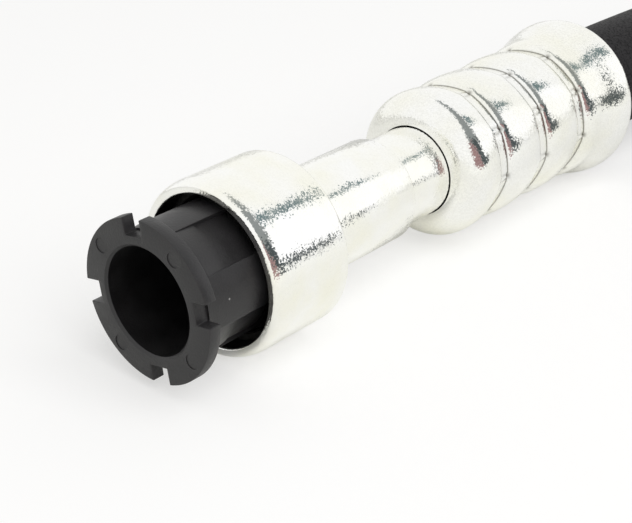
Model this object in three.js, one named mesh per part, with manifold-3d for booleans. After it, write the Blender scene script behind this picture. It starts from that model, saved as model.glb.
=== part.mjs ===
// Fuel hose with a push-to-release quick coupling crimped to one end and a beaded pipe end on the other.
// Millimetres. The coupling's axis lies along Y and the hose leaves it towards +Y; +Z is up.
// The coupling and its ferrule are centred on the origin in X and Y, and the ferrule's ring touches Z = 0.
// Lengths along the axis are counted from the front face of the release collar.

import * as THREE from "three";
import { mergeVertices } from "three/addons/utils/BufferGeometryUtils.js";
import Module from "manifold-3d";

// Clearances and fineness
const SEAT_GAP = 0.2; // between a piece and what seats it
const SLIDE_GAP = 0.3; // between the sliding collar and the socket
const SIDES = 36; // facets round a turned piece, a multiple of the jaws
const BARB_COUNT = 4;
const BARB_FOOT = -0.35; // where a barb starts, has its crest and ends, in shares of the pitch
const BARB_CREST = -0.25;
const BARB_TAIL = 0.2;
const EDGE = 0.4; // small chamfer on a pipe, a stem or a shoulder

// Pipe that the coupling takes, and that ends the hose
const PIPE_RADIUS = 3.95;
const PIPE_WALL = 0.8;
const BEAD_RADIUS = 5.3;
const BEAD_WIDTH = 2.6;
const BEAD_STEPS = 6;
const PIPE_LENGTH = 42.9; // from the shoulder in front of the ferrule to the tip
const PIPE_LEAD = 1.2; // length of the tip's chamfer
const PIPE_SHOULDER = 3.2; // length of the shoulder that shows in front of the ferrule

// Release collar
const COLLAR_BORE_GAP = 0.25; // round the bead that passes through
const FLANGE_RADIUS = 8.4;
const FLANGE_THICKNESS = 1.4;
const FLANGE_EDGE = 0.35;
const RIM_RADIUS = 6.55; // floor of the flange's notches
const NOTCH_REACH = 4; // length of the notches' cutters, in flange thicknesses
const NOTCH_WIDTH = 2.3;
const LEG_COUNT = 4; // a notch stands in line with each leg
const LEG_TURN = -11; // degrees from straight up towards +X
const LEG_SPAN = 45; // degrees
const SLEEVE_RADIUS = 6.8;
const LEG_RADIUS = 6.95;
const LEG_START = 2.6;
const PANEL_START = 2.2; // the panels between the legs begin here
const LEG_CORE_RADIUS = 6.35; // level of the panels between the legs
const RING_END = 5.1; // end of the full ring behind the flange
const SLOT_START = 9.6; // open slots between the legs begin here
const HOOK_HEIGHT = 0.75;
const HOOK_LENGTH = 1.2;
const HOOK_SQUARE = 0.4; // share of the hook's length before it slopes to the nose
const NOSE_LENGTH = 0.5;
const TOOTH_HEIGHT = 0.55;
const COLLAR_TRAVEL = 3;

// Socket: cup, neck and barbed stem, turned from one bar
const SLEEVE_SHOWING = 6.6; // from the flange to the front of the cup
const CUP_RADIUS = 9.25;
const CUP_LENGTH = 10.6;
const CUP_FRONT_ROUND = 0.5;
const CUP_TAPER = 0.25; // the cup's outside draws in this much towards its front
const CUP_TAPER_LENGTH = 1.1;
const CUP_TAPER_ANGLE = 21; // degrees, where the rounding meets the taper
const CUP_REAR_ROUND = 0.7;
const MOUTH_RADIUS = 8;
const MOUTH_DEPTH = 2.4;
const MOUTH_CHAMFER = 0.25;
const LIP_LENGTH = 1;
const NECK_RADIUS = 5.8;
const NECK_LENGTH = 14.75;
const NECK_FILLET = 0.8;
const NECK_STEP = 0.7; // the rear part of the neck is this much slimmer
const NECK_STEP_SLOPE = 0.2; // length of the step's slope
const REAR_NECK_LENGTH = 6.95; // from the step to the ferrule
const SEAT_RADIUS = 5.2; // bore that holds the seals
const NOSE_BORE_GAP = 0.25; // round the tip of the pipe
const NOSE_BORE_BACK = 1.5; // from the end of that bore to the neck's step
const BEAD_STOP_GAP = 0.5; // between the bead and the seal bush
const SHOULDER_LENGTH = 0.8; // of the shoulder behind the ferrule's front wall
const STEM_ROOT_RADIUS = 3.45;
const STEM_BARB_RADIUS = 3.95;
const STEM_WALL = 0.8;
const STEM_LENGTH = 26.1;

// Seals
const BUSH_LENGTH = 2.8;
const SPACER_LENGTH = 1.2;
const O_RING_SECTION = 1.3; // thickness of the ring's cord
const O_RING_SIDES = 8;

// Crimped ferrule
const FERRULE_LENGTH = 31.9;
const FERRULE_WALL = 1.3;
const FERRULE_FRONT_WALL = 1.8;
const FERRULE_NOSE_HEIGHT = 3.2; // its rounded front rises this much
const FERRULE_NOSE_LENGTH = 3; // over this length
const NOSE_STEPS = 5;
const LAND_RADIUS = 8.5;
const LAND_PEAK = 0.42; // share of a land's length in front of its highest place
const GROOVE_COUNT = 3;
const GROOVE_PITCH = 7.9;
const FIRST_GROOVE = 7.1; // from the ferrule's front to the rear crease of the first groove
const GROOVE_DEPTH = 0.76; // at the rear crease
const BAND_LENGTH = 1.5; // even floor of a groove, in front of its rear crease
const BAND_RISE = 0.12; // the floor is this much higher at its front
const JAW_COUNT = 9;
const JAW_TURN = 14.5; // degrees from straight up towards +X to the first ridge
const JAW_FLATNESS = 0.4; // 0 leaves the floor of a groove round, 1 makes each jaw's mark flat
const END_RING_RADIUS = 9.7;
const END_RING_ROUND = 1.7;
const END_RING_SWELL = 5.2; // length over which the ring swells
const END_RING_ROOT = 0.15; // the ring starts this much above the lands
const END_RING_START = 3; // it reaches its own outline within a third of its length
const END_RING_LIP = [20, 80]; // degrees of the rounding of its rear

// Shares of a land's length where rings of points lie
const NOSE_LAND_SHARES = [0.6, 0.85, 1];
const LAND_SHARES = [0.06, 0.2, LAND_PEAK, 0.7, 0.9, 1];
const RING_SHARES = [0.05, 0.16, 0.35, 0.6, 0.8, 1];

// Hose
const HOSE_RADIUS = 6.75;
const HOSE_BORE = 3.75;
const HOSE_SIDES = 12;
const HOSE_STEPS = 22;
const HOSE_TUCK = 3; // the even tube reaches this far into each ferrule

// Places along the axis, from the front face of the collar
const socketFront = FLANGE_THICKNESS + SLEEVE_SHOWING;
const lipFront = socketFront + MOUTH_DEPTH;
const lipRear = lipFront + LIP_LENGTH;
const hookFront = lipRear + SLIDE_GAP;
const collarEnd = hookFront + HOOK_LENGTH + NOSE_LENGTH;
const chamberEnd = collarEnd + COLLAR_TRAVEL + SLIDE_GAP;
const cupRear = socketFront + CUP_LENGTH;
const neckStep = cupRear + NECK_LENGTH;
const ferruleFront = neckStep + REAR_NECK_LENGTH;
const ferruleRear = ferruleFront + FERRULE_LENGTH;
const shoulder = ferruleFront + FERRULE_FRONT_WALL + SHOULDER_LENGTH;
const bushRear = chamberEnd + BUSH_LENGTH;
const frontRingY = bushRear + SEAT_GAP + O_RING_SECTION / 2;
const spacerFront = frontRingY + O_RING_SECTION / 2 + SEAT_GAP;
const rearRingY = spacerFront + SPACER_LENGTH + SEAT_GAP + O_RING_SECTION / 2;
const seatEnd = rearRingY + O_RING_SECTION / 2 + SEAT_GAP;
const noseBoreEnd = neckStep - NOSE_BORE_BACK;

// Radii that follow from those above
const collarBore = BEAD_RADIUS + COLLAR_BORE_GAP;
const lipRadius = LEG_RADIUS + SLIDE_GAP;
const hookRadius = LEG_RADIUS + HOOK_HEIGHT;
const chamberRadius = hookRadius + SLIDE_GAP;
const rearNeckRadius = NECK_RADIUS - NECK_STEP;
const stemBore = STEM_ROOT_RADIUS - STEM_WALL;
const stretchedBore = STEM_BARB_RADIUS + SEAT_GAP;
const noseBore = PIPE_RADIUS + NOSE_BORE_GAP;
const seatedRadius = SEAT_RADIUS - SEAT_GAP;
const beadFromTip = noseBoreEnd - chamberEnd - BEAD_STOP_GAP; // the bead stops at the seal bush

// The ferrule's ring stands on Z = 0, and the coupling is centred on Y = 0
const axisHeight = END_RING_RADIUS;
const startY = -ferruleRear / 2;

// Hose route from the rear of the coupling's ferrule to the rear of the pipe's ferrule, counted
// from the first of them. It sags to the floor, swings across it in one easy S and lifts again.
const ROUTE = [
  [0, 0, 0],
  [0, 12.5, -0.1],
  [0.4, 28.5, -0.6],
  [2, 46.5, -1.5],
  [5.6, 66.5, -2.3],
  [11.8, 86.5, -2.55],
  [20.5, 106, -2.6],
  [30.6, 125, -2.6],
  [41, 144, -2.6],
  [50.6, 163, -2.6],
  [58.6, 182.5, -2.55],
  [64.3, 202.5, -2.3],
  [67.6, 222.5, -1.5],
  [69.4, 241, -0.6],
  [70, 256.5, -0.1],
  [70, 268.5, 0],
].map(([x, y, z]) => new THREE.Vector3(x, y + startY + ferruleRear, z + axisHeight));

const wasm = await Module();
wasm.setup();
const radians = THREE.MathUtils.degToRad;

const bare = (geometry) => {
  geometry.deleteAttribute("normal");
  geometry.deleteAttribute("uv");
  return mergeVertices(geometry, 1e-4);
};

const toSolid = (geometry) => {
  const g = bare(geometry);
  const vertProperties = g.attributes.position.array;
  const triVerts = new Uint32Array(g.index.array);
  return new wasm.Manifold(new wasm.Mesh({ numProp: 3, vertProperties, triVerts }));
};

const toGeometry = (solid) => {
  const mesh = solid.getMesh();
  const g = new THREE.BufferGeometry();
  g.setAttribute("position", new THREE.BufferAttribute(mesh.vertProperties, 3));
  g.setIndex(new THREE.BufferAttribute(mesh.triVerts, 1));
  g.computeVertexNormals();
  return g;
};

// A closed profile of [radius, y] points turned round the Y axis: up the outside, down the inside.
const turned = (profile, sides = SIDES) => {
  const points = [...profile, profile[0]].map(([r, y]) => new THREE.Vector2(r, y));
  return new THREE.LatheGeometry(points, sides);
};

// Points of an arc in a profile, from one angle to another in degrees, 0 along +radius.
const arc = (r, y, radius, from, to, steps = 3) =>
  Array.from({ length: steps + 1 }, (_, i) => {
    const a = radians(from + ((to - from) * i) / steps);
    return [r + radius * Math.cos(a), y + radius * Math.sin(a)];
  });

// A sector of a ring along Y, from one angle to another, counted from +Z towards +X.
const sector = (inner, outer, from, to, y0, y1) => {
  const shape = new THREE.Shape();
  shape.absarc(0, 0, outer, radians(from - 90), radians(to - 90), false);
  shape.absarc(0, 0, inner, radians(to - 90), radians(from - 90), true);
  shape.closePath();
  const g = new THREE.ExtrudeGeometry(shape, { depth: y1 - y0, bevelEnabled: false, curveSegments: 8 });
  return g.rotateX(-Math.PI / 2).translate(0, y0, 0);
};

// A barbed stem's outside from its shoulder to its open tip, as profile points. Each barb rises
// steeply and falls gently.
const barbs = (from, length) => {
  const pitch = length / (BARB_COUNT + 0.5);
  const points = [[STEM_ROOT_RADIUS, from]];
  for (let i = 1; i <= BARB_COUNT; i++) {
    points.push([STEM_ROOT_RADIUS, from + pitch * (i + BARB_FOOT)]);
    points.push([STEM_BARB_RADIUS, from + pitch * (i + BARB_CREST)]);
    points.push([STEM_ROOT_RADIUS, from + pitch * (i + BARB_TAIL)]);
  }
  points.push([STEM_ROOT_RADIUS - EDGE, from + length]);
  return points;
};

// Release collar: a notched flange, a sleeve and four hooked legs in one moulding.
function releaseCollar() {
  const toothFront = collarEnd - TOOTH_HEIGHT * 2;
  const profile = [
    [collarBore + FLANGE_EDGE, 0],
    [FLANGE_RADIUS - FLANGE_EDGE, 0],
    [FLANGE_RADIUS, FLANGE_EDGE],
    [FLANGE_RADIUS, FLANGE_THICKNESS],
    [SLEEVE_RADIUS, FLANGE_THICKNESS],
    [SLEEVE_RADIUS, LEG_START],
    [LEG_RADIUS, LEG_START],
    [LEG_RADIUS, hookFront],
    [hookRadius, hookFront],
    [hookRadius, hookFront + HOOK_LENGTH * HOOK_SQUARE],
    [LEG_RADIUS - SLIDE_GAP, collarEnd],
    [collarBore, collarEnd],
    [collarBore - TOOTH_HEIGHT, collarEnd - TOOTH_HEIGHT],
    [collarBore, toothFront],
    [collarBore, FLANGE_EDGE],
  ];
  let solid = toSolid(turned(profile));
  const step = 360 / LEG_COUNT;
  const reach = hookRadius + 1;
  for (let i = 0; i < LEG_COUNT; i++) {
    const middle = LEG_TURN + i * step;
    const gapFrom = middle + LEG_SPAN / 2;
    const gapTo = middle + step - LEG_SPAN / 2;
    const notch = new THREE.BoxGeometry(NOTCH_WIDTH, FLANGE_THICKNESS * NOTCH_REACH, FLANGE_RADIUS);
    notch.translate(0, FLANGE_THICKNESS * (1 - NOTCH_REACH / 2), RIM_RADIUS + FLANGE_RADIUS / 2);
    notch.rotateY(radians(middle));
    solid = solid.subtract(toSolid(notch));
    for (const [floor, start] of [
      [SLEEVE_RADIUS, PANEL_START],
      [LEG_CORE_RADIUS, RING_END],
      [collarBore - 1, SLOT_START],
    ]) {
      solid = solid.subtract(toSolid(sector(floor, reach, gapFrom, gapTo, start, collarEnd + 1)));
    }
  }
  return toGeometry(solid);
}

// Socket: a cup that holds the collar, a neck that holds the seals and a barbed stem for the hose.
function couplingSocket() {
  const stemEnd = shoulder + STEM_LENGTH;
  const frontRound = CUP_RADIUS - CUP_TAPER - CUP_FRONT_ROUND * Math.cos(radians(CUP_TAPER_ANGLE));
  return turned([
    [MOUTH_RADIUS + MOUTH_CHAMFER, socketFront],
    ...arc(frontRound, socketFront + CUP_FRONT_ROUND, CUP_FRONT_ROUND, -90, -CUP_TAPER_ANGLE, 3),
    [CUP_RADIUS, socketFront + CUP_FRONT_ROUND + CUP_TAPER_LENGTH],
    ...arc(CUP_RADIUS - CUP_REAR_ROUND, cupRear - CUP_REAR_ROUND, CUP_REAR_ROUND, 0, 90, 3),
    ...arc(NECK_RADIUS + NECK_FILLET, cupRear + NECK_FILLET, NECK_FILLET, 270, 180, 3),
    [NECK_RADIUS, neckStep],
    [rearNeckRadius, neckStep + NECK_STEP_SLOPE],
    [rearNeckRadius, shoulder],
    ...barbs(shoulder, STEM_LENGTH),
    [stemBore, stemEnd],
    [stemBore, noseBoreEnd + noseBore - stemBore],
    [noseBore, noseBoreEnd],
    [noseBore, seatEnd],
    [SEAT_RADIUS, seatEnd],
    [SEAT_RADIUS, chamberEnd],
    [chamberRadius, chamberEnd],
    [chamberRadius, lipRear],
    [lipRadius, lipRear],
    [lipRadius, lipFront],
    [MOUTH_RADIUS, lipFront],
    [MOUTH_RADIUS, socketFront + MOUTH_CHAMFER],
  ]);
}

// Plain ring with a square section, for the seal bush and the spacer.
const squareRing = (inner, outer, from, to) =>
  turned([
    [inner, from],
    [outer, from],
    [outer, to],
    [inner, to],
  ]);

// O-ring seated in the neck.
function oRing(y) {
  const r = O_RING_SECTION / 2;
  const circle = arc(seatedRadius - r, y, r, -90, 270 - 360 / O_RING_SIDES, O_RING_SIDES - 1);
  return turned(circle);
}

const ringPeak = FERRULE_LENGTH - END_RING_ROUND;
const rearCreases = Array.from({ length: GROOVE_COUNT }, (_, i) => FIRST_GROOVE + i * GROOVE_PITCH);
const lastCrease = rearCreases[GROOVE_COUNT - 1];

// Outside of the ring behind the last groove, before the groove's own rise.
const ringAt = (y) => {
  const swell = THREE.MathUtils.smoothstep(y, ringPeak - END_RING_SWELL, ringPeak);
  const root = LAND_RADIUS + END_RING_ROOT;
  return root + (END_RING_RADIUS - root) * swell;
};

// Share of a land's height: it rises steeply behind a crease and falls more gently in front of the next.
const landShare = (t) => {
  if (t < LAND_PEAK) return Math.sqrt(Math.max(0, 1 - (1 - t / LAND_PEAK) ** 2));
  return Math.sqrt(Math.max(0, 1 - ((t - LAND_PEAK) / (1 - LAND_PEAK)) ** 2));
};

// Rings of points along the crimped part, each [place, share of the land's height, radius of the land].
function crimpedRings() {
  const rings = [];
  rearCreases.forEach((rear, i) => {
    const from = i === 0 ? FERRULE_NOSE_LENGTH : rearCreases[i - 1];
    const length = rear - BAND_LENGTH - from;
    for (const k of i === 0 ? NOSE_LAND_SHARES : LAND_SHARES) {
      const t = i === 0 ? LAND_PEAK + (1 - LAND_PEAK) * k : k;
      rings.push([from + length * k, landShare(t), LAND_RADIUS, BAND_RISE]);
    }
    rings.push([rear, 0, LAND_RADIUS, 0]);
  });
  for (const k of RING_SHARES) {
    const y = lastCrease + (ringPeak - lastCrease) * k;
    rings.push([y, landShare(Math.min(1, k * END_RING_START) * LAND_PEAK), ringAt(y), 0]);
  }
  return rings;
}

// Radius on such a ring at an angle. The middle of a jaw's mark lies lower than the ridge between two.
const jawRadius = ([, share, top, rise], angle) => {
  const step = 360 / JAW_COUNT;
  const off = ((((angle - JAW_TURN) % step) + step) % step) - step / 2;
  const flat = 1 + JAW_FLATNESS * (1 / Math.cos(radians(off)) - 1);
  const floor = (LAND_RADIUS - GROOVE_DEPTH + rise) * flat;
  return floor + (top - floor) * share;
};

// Rounded front of the ferrule from its hole to the first land, as profile points.
function ferruleNose(hole) {
  const middle = LAND_RADIUS - FERRULE_NOSE_HEIGHT;
  const first = -Math.acos(Math.max(0, hole - middle) / FERRULE_NOSE_HEIGHT);
  return Array.from({ length: NOSE_STEPS + 1 }, (_, i) => {
    const a = first * (1 - i / NOSE_STEPS);
    return [middle + FERRULE_NOSE_HEIGHT * Math.cos(a), FERRULE_NOSE_LENGTH * (1 + Math.sin(a))];
  });
}

// Crimped ferrule: its front wall holds the neck, its rear end is left flared.
function crimpFerrule() {
  const hole = rearNeckRadius + SEAT_GAP;
  const front = ferruleNose(hole);
  const rear = arc(END_RING_RADIUS - END_RING_ROUND, ringPeak, END_RING_ROUND, ...END_RING_LIP);
  const crimped = crimpedRings();
  const inner = ferruleBore().reverse();
  const position = [];
  let count = 0;
  for (let j = 0; j < SIDES; j++) {
    const angle = JAW_TURN + (j * 360) / SIDES;
    const a = radians(angle);
    const rings = [
      ...front,
      ...crimped.map((ring) => [jawRadius(ring, angle), ring[0]]),
      ...rear,
      ...inner,
      [hole, FERRULE_FRONT_WALL],
    ];
    count = rings.length;
    for (const [r, y] of rings) position.push(r * Math.sin(a), y, r * Math.cos(a));
  }
  const index = [];
  for (let j = 0; j < SIDES; j++) {
    const here = j * count;
    const next = ((j + 1) % SIDES) * count;
    for (let i = 0; i < count; i++) {
      const k = (i + 1) % count;
      index.push(here + i, next + i, here + k);
      index.push(next + i, next + k, here + k);
    }
  }
  const g = new THREE.BufferGeometry();
  g.setAttribute("position", new THREE.Float32BufferAttribute(position, 3));
  g.setIndex(index);
  g.computeVertexNormals();
  return g;
}

// Inside of the ferrule from its front wall to its rear lip, as profile points.
function ferruleBore() {
  const even = LAND_RADIUS - FERRULE_WALL;
  const pressed = even - GROOVE_DEPTH;
  const points = [[even, FERRULE_FRONT_WALL]];
  for (const rear of rearCreases) {
    points.push([even, rear - 2 * BAND_LENGTH]);
    points.push([pressed, rear - BAND_LENGTH]);
    points.push([pressed, rear + BAND_LENGTH / 3]);
    points.push([even, rear + BAND_LENGTH]);
  }
  points.push([even, ringPeak - END_RING_SWELL]);
  points.push([END_RING_RADIUS - FERRULE_WALL, ringPeak - FERRULE_WALL]);
  points.push([END_RING_RADIUS - FERRULE_WALL, ringPeak]);
  points.push([END_RING_RADIUS - END_RING_ROUND, ringPeak + END_RING_ROUND - EDGE]);
  return points;
}

// End of the hose inside a ferrule, from the stem's shoulder, in the ferrule's own place.
function crimpedHoseEnd() {
  const start = shoulder - ferruleFront + SEAT_GAP;
  const end = FERRULE_LENGTH - HOSE_TUCK / 2;
  const relaxed = lastCrease + BAND_LENGTH;
  const stemTip = shoulder - ferruleFront + STEM_LENGTH;
  const squeezed = ferruleBore()
    .filter(([, y]) => y > start && y < relaxed)
    .map(([r, y]) => [r - SEAT_GAP, y]);
  const outer = [[squeezed[0][0], start], ...squeezed, [HOSE_RADIUS, relaxed], [HOSE_RADIUS, end]];
  return turned(
    [
      ...outer,
      [HOSE_BORE, end],
      [HOSE_BORE, stemTip + SEAT_GAP + stretchedBore - HOSE_BORE],
      [stretchedBore, stemTip + SEAT_GAP],
      [stretchedBore, start],
    ],
    HOSE_SIDES * 2,
  );
}

// Hose: an even tube along the route, joined to its two squeezed ends.
function fuelHose(atStart, atEnd) {
  const section = (radius, clockwise) => {
    const points = [];
    for (let i = 0; i < HOSE_SIDES; i++) {
      const a = ((i + 0.5) / HOSE_SIDES) * 2 * Math.PI * (clockwise ? -1 : 1);
      points.push(new THREE.Vector2(radius * Math.cos(a), radius * Math.sin(a)));
    }
    return points;
  };
  const ring = new THREE.Shape(section(HOSE_RADIUS, false));
  ring.holes.push(new THREE.Path(section(HOSE_BORE, true)));
  const forward = new THREE.Vector3(0, HOSE_TUCK, 0);
  const first = ROUTE[0].clone().sub(forward);
  const last = ROUTE[ROUTE.length - 1].clone().add(forward);
  const extrudePath = new THREE.CatmullRomCurve3([first, ...ROUTE, last], false, "centripetal");
  const tube = new THREE.ExtrudeGeometry(ring, { steps: HOSE_STEPS, extrudePath });
  const ends = [atStart, atEnd].map((place) => toSolid(crimpedHoseEnd().applyMatrix4(place)));
  return toGeometry(toSolid(tube).add(ends[0]).add(ends[1]));
}

// Pipe end: a barbed stem, a shoulder held by the ferrule and a beaded pipe, bored through.
function pipeEnd() {
  const from = shoulder - ferruleFront;
  const tip = -PIPE_SHOULDER - PIPE_LENGTH;
  const bead = tip + beadFromTip;
  const pipeBore = PIPE_RADIUS - PIPE_WALL;
  const rise = BEAD_RADIUS - PIPE_RADIUS;
  const beadSide = Array.from({ length: BEAD_STEPS + 1 }, (_, i) => {
    const a = (Math.PI * i) / BEAD_STEPS;
    return [PIPE_RADIUS + rise * Math.sin(a), bead + (BEAD_WIDTH * (1 - Math.cos(a))) / 2];
  });
  return turned([
    [PIPE_RADIUS - EDGE, tip],
    [PIPE_RADIUS, tip + PIPE_LEAD],
    ...beadSide,
    [PIPE_RADIUS, -PIPE_SHOULDER],
    [rearNeckRadius - EDGE, -PIPE_SHOULDER],
    [rearNeckRadius, -PIPE_SHOULDER + EDGE],
    [rearNeckRadius, from],
    ...barbs(from, STEM_LENGTH),
    [stemBore, from + STEM_LENGTH],
    [stemBore, -PIPE_SHOULDER],
    [pipeBore, -PIPE_SHOULDER + stemBore - pipeBore],
    [pipeBore, tip],
  ]);
}

const material = (color, roughness, metalness) =>
  new THREE.MeshStandardMaterial({ color, roughness, metalness });
const zinc = () => material(0xc9ccc4, 0.32, 1);
const blackPlastic = () => material(0x2b2a2b, 0.5, 0);
const sealRubber = () => material(0x1c1c1d, 0.7, 0);
const bushPlastic = () => material(0x2f2e2d, 0.55, 0);
const hoseRubber = () => material(0x1a191b, 0.75, 0);

const named = (name, geometry, look) => {
  const mesh = new THREE.Mesh(geometry, look);
  mesh.name = name;
  return mesh;
};

// Everything on the coupling's axis
const spacerRear = spacerFront + SPACER_LENGTH;
const coupling = new THREE.Group();
coupling.position.set(0, startY, axisHeight);
coupling.add(
  named("release_collar", releaseCollar(), blackPlastic()),
  named("coupling_socket", couplingSocket(), zinc()),
  named("seal_bush", squareRing(noseBore, seatedRadius, chamberEnd, bushRear), bushPlastic()),
  named("front_o_ring", oRing(frontRingY), sealRubber()),
  named("seal_spacer", squareRing(noseBore, seatedRadius, spacerFront, spacerRear), bushPlastic()),
  named("rear_o_ring", oRing(rearRingY), sealRubber()),
);
const ferruleMesh = named("crimp_ferrule", crimpFerrule(), zinc());
ferruleMesh.position.y = ferruleFront;
coupling.add(ferruleMesh);

// The pipe's ferrule and stem face the other way, at the far end of the hose
const farEnd = new THREE.Group();
const lastPoint = ROUTE[ROUTE.length - 1];
farEnd.position.set(lastPoint.x, lastPoint.y + FERRULE_LENGTH, lastPoint.z);
farEnd.rotation.z = Math.PI;
farEnd.add(named("pipe_ferrule", crimpFerrule(), zinc()), named("pipe_end", pipeEnd(), zinc()));

const part = new THREE.Group();
part.add(coupling, farEnd);
part.updateMatrixWorld(true);
part.add(named("fuel_hose", fuelHose(ferruleMesh.matrixWorld, farEnd.matrixWorld), hoseRubber()));

export default part;
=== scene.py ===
import math

import bmesh
import bpy
from bpy.props import FloatProperty, FloatVectorProperty, PointerProperty
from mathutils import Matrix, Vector


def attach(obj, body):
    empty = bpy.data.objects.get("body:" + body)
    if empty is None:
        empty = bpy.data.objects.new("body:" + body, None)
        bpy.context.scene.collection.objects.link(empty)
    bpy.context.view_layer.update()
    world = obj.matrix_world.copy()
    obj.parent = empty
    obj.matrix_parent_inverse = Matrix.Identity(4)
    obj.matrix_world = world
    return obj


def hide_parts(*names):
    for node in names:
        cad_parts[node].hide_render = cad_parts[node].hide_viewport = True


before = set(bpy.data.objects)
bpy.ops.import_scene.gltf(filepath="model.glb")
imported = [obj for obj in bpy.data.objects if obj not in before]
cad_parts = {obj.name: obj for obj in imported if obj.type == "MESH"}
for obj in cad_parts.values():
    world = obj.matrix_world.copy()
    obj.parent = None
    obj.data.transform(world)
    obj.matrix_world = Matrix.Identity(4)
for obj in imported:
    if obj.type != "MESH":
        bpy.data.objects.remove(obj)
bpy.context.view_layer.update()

bl_info = {
    "name": "Fuel hose with quick coupling",
    "version": (1, 0, 0),
    "blender": (4, 5, 0),
    "location": "3D View > Sidebar > Fuel Hose",
    "description": "Adds a crimped fuel hose with a push-to-release coupling, and a small studio for it",
    "category": "Add Mesh",
}

# Millimetres and degrees, unless a line says otherwise. Places along the coupling's axis are
# counted from the front face of its collar, and those of a ferrule and of the pipe end from the
# ferrule's front. Angles round the axis go from +Z towards +X.
MM = 0.001
AXIS_HEIGHT = 9.7
COLLAR_FRONT = -36.1
FERRULE_FRONT = 40.3
SHOULDER = 42.9
FAR_AXIS_X = 70.0
FAR_FERRULE_REAR = 304.6
FERRULE_LENGTH = 31.9
FAR_FERRULE_FRONT = FAR_FERRULE_REAR + FERRULE_LENGTH

# Ferrules: rounded front, lands between the grooves, ring at the rear
NOSE_HEIGHT = 3.2  # the rounded front rises this much
NOSE_LENGTH = 3.0  # over this length
FERRULE_HOLE = 5.22  # round the neck
LAND_PEAK = 0.42  # share of a land's length in front of its highest place
RING_ROOT_RADIUS = 8.65
RING_SWELL = 5.2  # length over which the ring swells
RING_ROUND = 1.7
RING_PEAK = FERRULE_LENGTH - RING_ROUND
FERRULE_SIDES = 288

# Crimps: the rear crease of each groove, and what the jaws of the press leave
GROOVE_REARS = (7.1, 15.0, 22.9)
LAND_STARTS = (NOSE_LENGTH, *GROOVE_REARS)
BAND_LENGTH = 1.5
BAND_RISE = 0.12
JAW_COUNT = 9
JAW_TURN = 14.5
JAW_RADIUS = 7.74  # floor of a groove at its rear crease, in the middle of a jaw's mark
JAW_FLATNESS = 0.4  # 0 leaves the floor of a groove round, 1 makes each jaw's mark flat
RIDGE_HEIGHT = 0.13  # between two jaws, across the floor only
RIDGE_WIDTH = 1.7
PIT_DEPTH = 0.26  # where two jaws meet at a crease
PIT_REACH = 0.3
PIT_WIDTH = 1.9

# Painted shade in the crimps: its share, 0 to 1, and how far it reaches
CREASE_SHADE_ATTRIBUTE = "crease"
REAR_SHADE, REAR_SHADE_BEFORE, REAR_SHADE_BEHIND = 0.75, 0.09, 0.02
FRONT_SHADE, FRONT_SHADE_REACH = 0.25, 0.12
PIT_SHADE_REACH = 0.22
RIDGE_SHADE, RIDGE_SHADE_TURN, RIDGE_SHADE_WIDTH, RIDGE_SHADE_REACH = 0.35, 2.6, 1.0, 0.7

# Socket and pipe end: sides of each, and their barbed stems
SOCKET_SIDES, PIPE_SIDES = 144, 96
STEM_BORE = 2.65
STEM_EDGE = 0.15
STEM_LENGTH = 26.1

# Collar: four legs in line with the four notches of the flange
FLANGE_THICKNESS = 1.4
LEG_COUNT = 4
LEG_TURN = -11.0
LEG_GAP = 45.0
PIN_MARK_TURN = 34.0
PIN_MARK_PLACE = 7.1
PIN_MARK_RADIUS = 0.78
PIN_MARK_DEPTH = 0.07
COLLAR_SIDES = 144
COLLAR_SEAM = 5.25  # so that no corner of the collar lies on the side of a cutter
CUTTER_SEAM = 6.2

# Seals: places of each one's ends, or of its middle
SEAL_SIDES = 72
BUSH_ENDS = (16.7, 19.5)
SPACER_ENDS = (21.2, 22.4)
FRONT_RING_PLACE = 20.35
REAR_RING_PLACE = 23.25
SEAL_OUTSIDE = 5.0
SEAL_BORE = 4.2

# Route of the hose from one ferrule's rear to the other's, and its lengths, all in metres
ROUTE = (
    (0.0, 0.0361, 0.0097), (0.0, 0.0486, 0.0096), (0.0004, 0.0646, 0.0091),
    (0.002, 0.0826, 0.0082), (0.0056, 0.1026, 0.0074), (0.0118, 0.1226, 0.00715),
    (0.0205, 0.1421, 0.0071), (0.0306, 0.1611, 0.0071), (0.041, 0.1801, 0.0071),
    (0.0506, 0.1991, 0.0071), (0.0586, 0.2186, 0.00715), (0.0643, 0.2386, 0.0074),
    (0.0676, 0.2586, 0.0082), (0.0694, 0.2771, 0.0091), (0.07, 0.2926, 0.0096),
    (0.07, 0.3046, 0.0097),
)
HOSE_TUCK = 0.029  # inside each ferrule
SQUEEZED_FROM = 0.013
RELAXED_FROM = 0.010
SQUEEZED = 0.9  # share of its radius that the hose keeps between the crimps and the stem
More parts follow.
